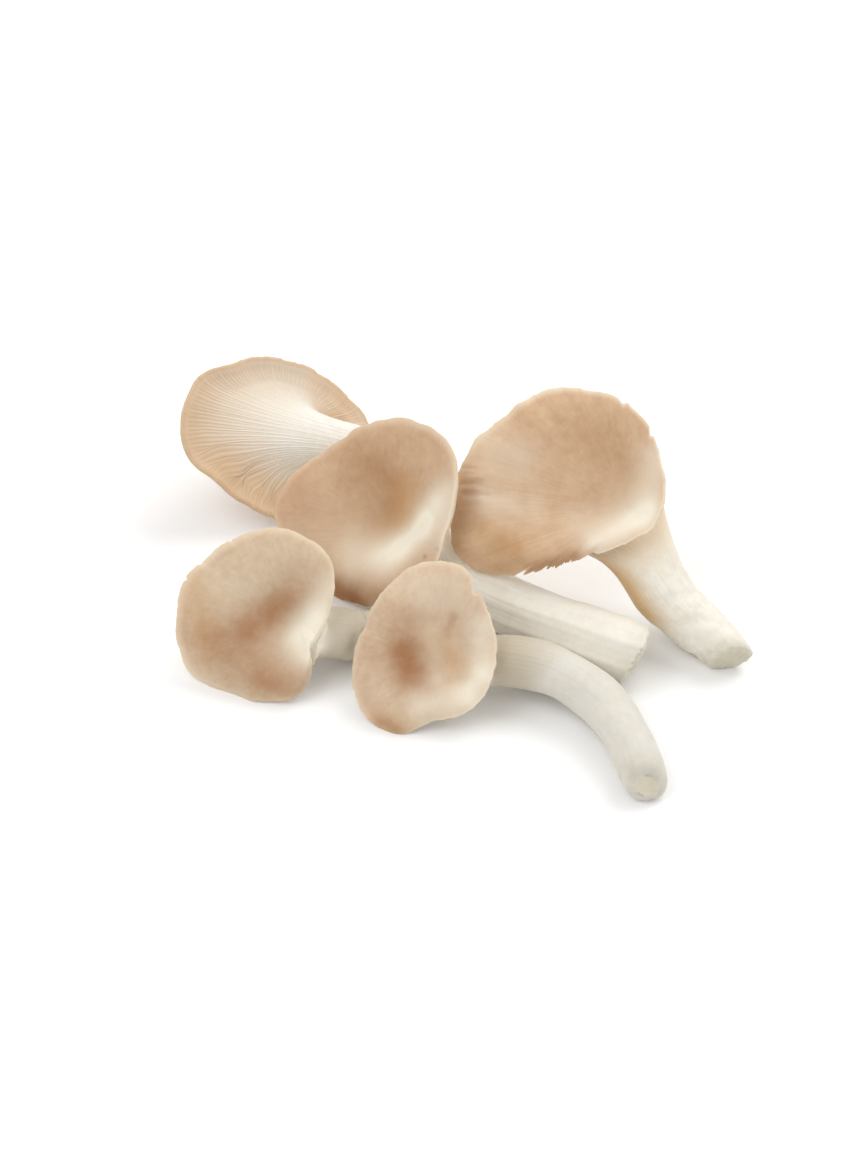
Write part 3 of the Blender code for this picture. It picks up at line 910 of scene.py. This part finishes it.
mushroomRight = {
    **plainForm,
    "seed": 41,
    "sides": 640,
    "rows": (64, 40, 30, 6),
    "place": (57.5, 6, 38),
    "tilt": (38, -14),
    "middle": (-19, 11.5),
    "rim": (32, 31.5, 28.5, 27.5, 25.5, 29.5, 33.5, 37.5, 30, 24.5, 27, 33.5),
    "lift": (8, 7, 5, 3, 0, 2, 2, 6),
    "swell": (1, 3, 5, 6, 6, 5, 3, 1),
    "roll": (0, 0, 1, 2, 3, 2, 1, 0),
    "flesh": 10,
    "fleshFall": 1.3,
    "join": 0.8,
    "neck": 0.42,
    "stem": (
        (59.5, 7.5, 31.5),
        (62.8, 0.5, 23.5),
        (67.8, -5, 15.5),
        (75.2, -11, 10),
        (82.8, -17.2, 7.1),
        (88.2, -24.8, 5.6),
    ),
    "girth": (11, 10, 9.1, 8.3, 7.4, 6.1),
    "slant": (0.39, 0.28),
    "gillRun": 0.12,
    "rimInward": ((7, 0.3), (17, 0.25), (29, 0.12), (53, 0.06)),
    "rimWaves": ((5, 0.3), (11, 0.3), (19, 0.2)),
    "notches": (
        (0.68, 0.02, 0.9),
        (0.66, 0.005, 3.4),
        (0.675, 0.004, 0.9),
        (0.697, 0.005, 4.0),
        (0.708, 0.003, 1.3),
        (0.7145, 0.004, 2.4),
        (0.725, 0.003, 0.9),
        (0.732, 0.004, 2.8),
        (0.7385, 0.003, 1.2),
        (0.746, 0.004, 1.6),
        (0.79, 0.012, 0.8),
        (0.045, 0.008, 1.2),
        (0.11, 0.007, 0.9),
    ),
    "stemKnots": ((2, 0.12), (5, 0.1), (8, 0.06)),
    "frayed": ((3, 0.15), (7, 0.15)),
    "cutPits": ((3, 0.15), (11, 0.1)),
    "endShade": 0.6,
    # painted warm shade down the stem's lower left side, under the cap
    "stemWarmShade": (0, 0, 0, 0, 0.45, 1, 0.1, 0),
    "stemWarmShadeLength": 0.45,
    "relief": (
        (7.3, -3.8, -11.6, -10.3, 2.5, 0.5),
        (-48, 21, -43.5, 19.8, 0.7, -0.35),
        (-48, 18.7, -41.5, 16.8, 0.8, 0.35),
        (-48, 16.5, -42, 14.9, 0.9, -0.4),
        (-47.8, 14, -42.5, 13.2, 0.7, 0.3),
        (-47.6, 12.4, -40.5, 10.8, 0.7, -0.35),
    ),
    "brownAndShade": (
        (-48, 22, -45, 21.5, 0.6, 0.15),
        (-48, 19.2, -44, 18.4, 0.7, 0.2),
        (-48, 16.6, -44.5, 15.8, 0.7, 0.2),
        (-47.6, 14.2, -44, 13.4, 0.7, 0.24),
        (-47.5, 20, -46, 13, 2.4, 0.08),
        (-44.2, 2.6, -43.2, 1.6, 3.5, 0.22),
        (-37.5, -5, -35, -6.6, 4, 0.25),
        (-26, 25, -8, 26, 10, 0.24),
        (-1, 18, 1, 12, 4.5, 0.2),
        (-31, -13.5, -17, -13.5, 2.5, 0.5),
    ),
    "creamAndHighlight": (
        (12, 12, 6, -3, 6, 0.45),
        (6, -3, -10, -9, 4.5, 0.65),
        (1, 0, 2, -2, 6, 0.2),
        (-14, -2, -4, -5, 6, 0.2),
        (-43, 27, -30, 20, 7, 0.3),
        (-46, 17, -41, 8, 6, 0.16),
        (-40, 8, -28, 4, 4, 0.18),
        # painted highlights: thin pale lines on the folds of the left margin
        (-48, 17.9, -44, 17.2, 0.6, 0.12),
        (-47.6, 15.4, -43.5, 14.7, 0.6, 0.12),
        (-48, 12, -42, 11, 1.1, 0.16),
        (-42, 11, -34, 8, 2.2, 0.14),
    ),
    "rose": ((-47, 20, -44, 11, 4, 0.16),),
    "goldAndShade": ((-44, 2.5, -43, 1.5, 4, 0.35), (-38, -5, -34, -7, 5, 0.4)),
    "rimPale": (0.8, 0.9, 0.9, 0.6, 0.2, 0.2, 0.5, 0.8),
    "rimPaleFrom": 0.93,
}

mushroomBack = {
    **plainForm,
    "seed": 53,
    "sides": 882,
    "rows": (24, 56, 20, 5),
    "place": (-45.5, 63, 16),
    "tilt": (213, 36),
    "middle": (-2.5, 3),
    "rim": (31.5, 27.5, 26.5, 26.5, 28.5, 35.5, 35.5, 28, 25, 24, 26, 31.5),
    "lift": (-2, -3, -3, -3, -3, -3, -3, -2),
    "swell": (2, 3, 3, 3, 3, 3, 3, 2),
    "roll": (2, 2, 2, 2, 2.5, 2.5, 2, 2),
    "flesh": 9,
    "fleshFall": 1.25,
    "join": 0.85,
    "neck": 0.5,
    "stem": ((-44, 61.5, 17), (-35.5, 60, 16), (-25.5, 60, 13), (-15, 61, 8.5), (-4.5, 60.5, 5.5)),
    "girth": (9.5, 8, 7, 6.5, 6.2),
    "slant": (0, 0),
    "gillStarts": (0.4, 0.62),
    "gillSamples": 6,
    "gillDepth": 0.18,
    "gillSway": 0.8,
    "gillTangle": ((-19, 20.5, 6, 23.5, 6.5, 8),),
    "gillRun": 0.12,
    "rimWaves": ((5, 0.3), (9, 0.25), (14, 0.15)),
    "rimTan": (0.5, 0.65, 0.7, 0.75, 0.7, 0.5, 0.4, 0.6),
    # painted shade along the stem's top edge, under the gills
    "stemWarmShade": (0, 0, 0, 0, 0, 0, 0.2, 0.6),
    "stemWarmShadeLength": 0.35,
    "shown": "gills",
    "creamAndHighlight": ((-17, -0.5, -4, 1, 8, 0.2),),
    # the first stroke tints the tangled gills gold; the second and third are painted shade along the stem's
    # top edge
    "goldAndShade": ((-19, 21, 6, 24, 5.5, 0.4), (3, -18, 14, -18, 5, 0.25), (7, -9.5, 14, -11, 4, 0.55)),
    "rimPale": (0.2, 0.2, 0.2, 0.2),
}

looks = {
    # The Left's stem tint is darker than the plain stem's as painted shade: that short stem lies in the
    # shade of the caps.
    "Left": (mushroomLeft, {"stem": tint(204, 198, 186), "skin": tint(215, 197, 171)}),
    "Front": (mushroomFront, {"stem": tint(219, 215, 206), "skin": tint(220, 199, 173)}),
    "Centre": (
        mushroomCentre,
        {
            "skin": tint(212, 182, 150),
            "skinDark": tint(172, 130, 92),
            "stem": tint(235, 231, 220),
            "stemStreaks": 0.12,
            "stemClouds": 0.2,
        },
    ),
    "Right": (
        mushroomRight,
        {
            "skin": tint(219, 190, 157),
            "skinDark": tint(180, 137, 98),
            # tanner than the plain gills as painted warm shade at the neck, under the cap
            "gill": tint(236, 219, 194),
            "stem": tint(238, 233, 221),
            "streaks": 0.22,
        },
    ),
    "Back": (
        mushroomBack,
        {
            "skin": tint(204, 176, 144),
            "fineness": 40.0,
            "gill": tint(239, 235, 228),
            "gap": tint(230, 213, 186),
            "gapDepth": 0.5,
            "stem": tint(240, 237, 232),
        },
    ),
}

for name, (form, look) in looks.items():
    piece = growMushroom("mushroom" + name, form)
    dress(piece, "mushroom_" + name.lower(), makeFinish("flesh" + name, {**plainLook, **look}))


# Floor, light and camera
studio = {
    "floorReach": 3,
    "floorTint": (0.96, 0.96, 0.96, 1),
    "floorRoughness": 0.9,
    "skyTint": (1, 1, 1, 1),
    "skyStrength": 0.765,
}
lights = {
    "keyLight": {"place": (0.6, 0.55, 0.95), "size": 0.9, "power": 6.3},
    "fillLight": {"place": (-0.7, -0.2, 1.0), "size": 1.0, "power": 4.2},
}
photoLens = {"lens": 100, "sensor": 36, "place": (-0.0087, -0.6808, 0.6956), "down": 45}


def makeFloor():
    bm = bmesh.new()
    bmesh.ops.create_grid(bm, x_segments=2, y_segments=2, size=studio["floorReach"])
    mesh = bpy.data.meshes.new("paleFloor")
    bm.to_mesh(mesh)
    bm.free()
    floor = bpy.data.objects.new("paleFloor", mesh)
    bpy.context.scene.collection.objects.link(floor)
    material = bpy.data.materials.new("paleFloor")
    material.use_nodes = True
    shader = material.node_tree.nodes["Principled BSDF"]
    shader.inputs["Base Color"].default_value = studio["floorTint"]
    shader.inputs["Roughness"].default_value = studio["floorRoughness"]
    mesh.materials.append(material)


# a round lamp that looks at the middle of the table
def addLight(name, place, size, power):
    lamp = bpy.data.lights.new(name, "AREA")
    lamp.shape = "DISK"
    lamp.size = size
    lamp.energy = power
    light = bpy.data.objects.new(name, lamp)
    light.location = place
    light.rotation_euler = (-Vector(place)).to_track_quat("-Z", "Y").to_euler()
    bpy.context.scene.collection.objects.link(light)


makeFloor()
for name, light in lights.items():
    addLight(name, **light)
world = bpy.data.worlds.new("studio")
world.use_nodes = True
sky = world.node_tree.nodes["Background"]
sky.inputs["Color"].default_value = studio["skyTint"]
sky.inputs["Strength"].default_value = studio["skyStrength"]
bpy.context.scene.world = world
bpy.context.scene.view_settings.view_transform = "Standard"
print("floor and lights placed:", sorted(lights))

camera = bpy.data.objects.new("photoCamera", bpy.data.cameras.new("photoCamera"))
camera.data.lens = photoLens["lens"]
camera.data.sensor_width = photoLens["sensor"]
camera.location = photoLens["place"]
camera.rotation_euler = (math.radians(photoLens["down"]), 0, 0)
bpy.context.scene.collection.objects.link(camera)
bpy.context.scene.camera = camera
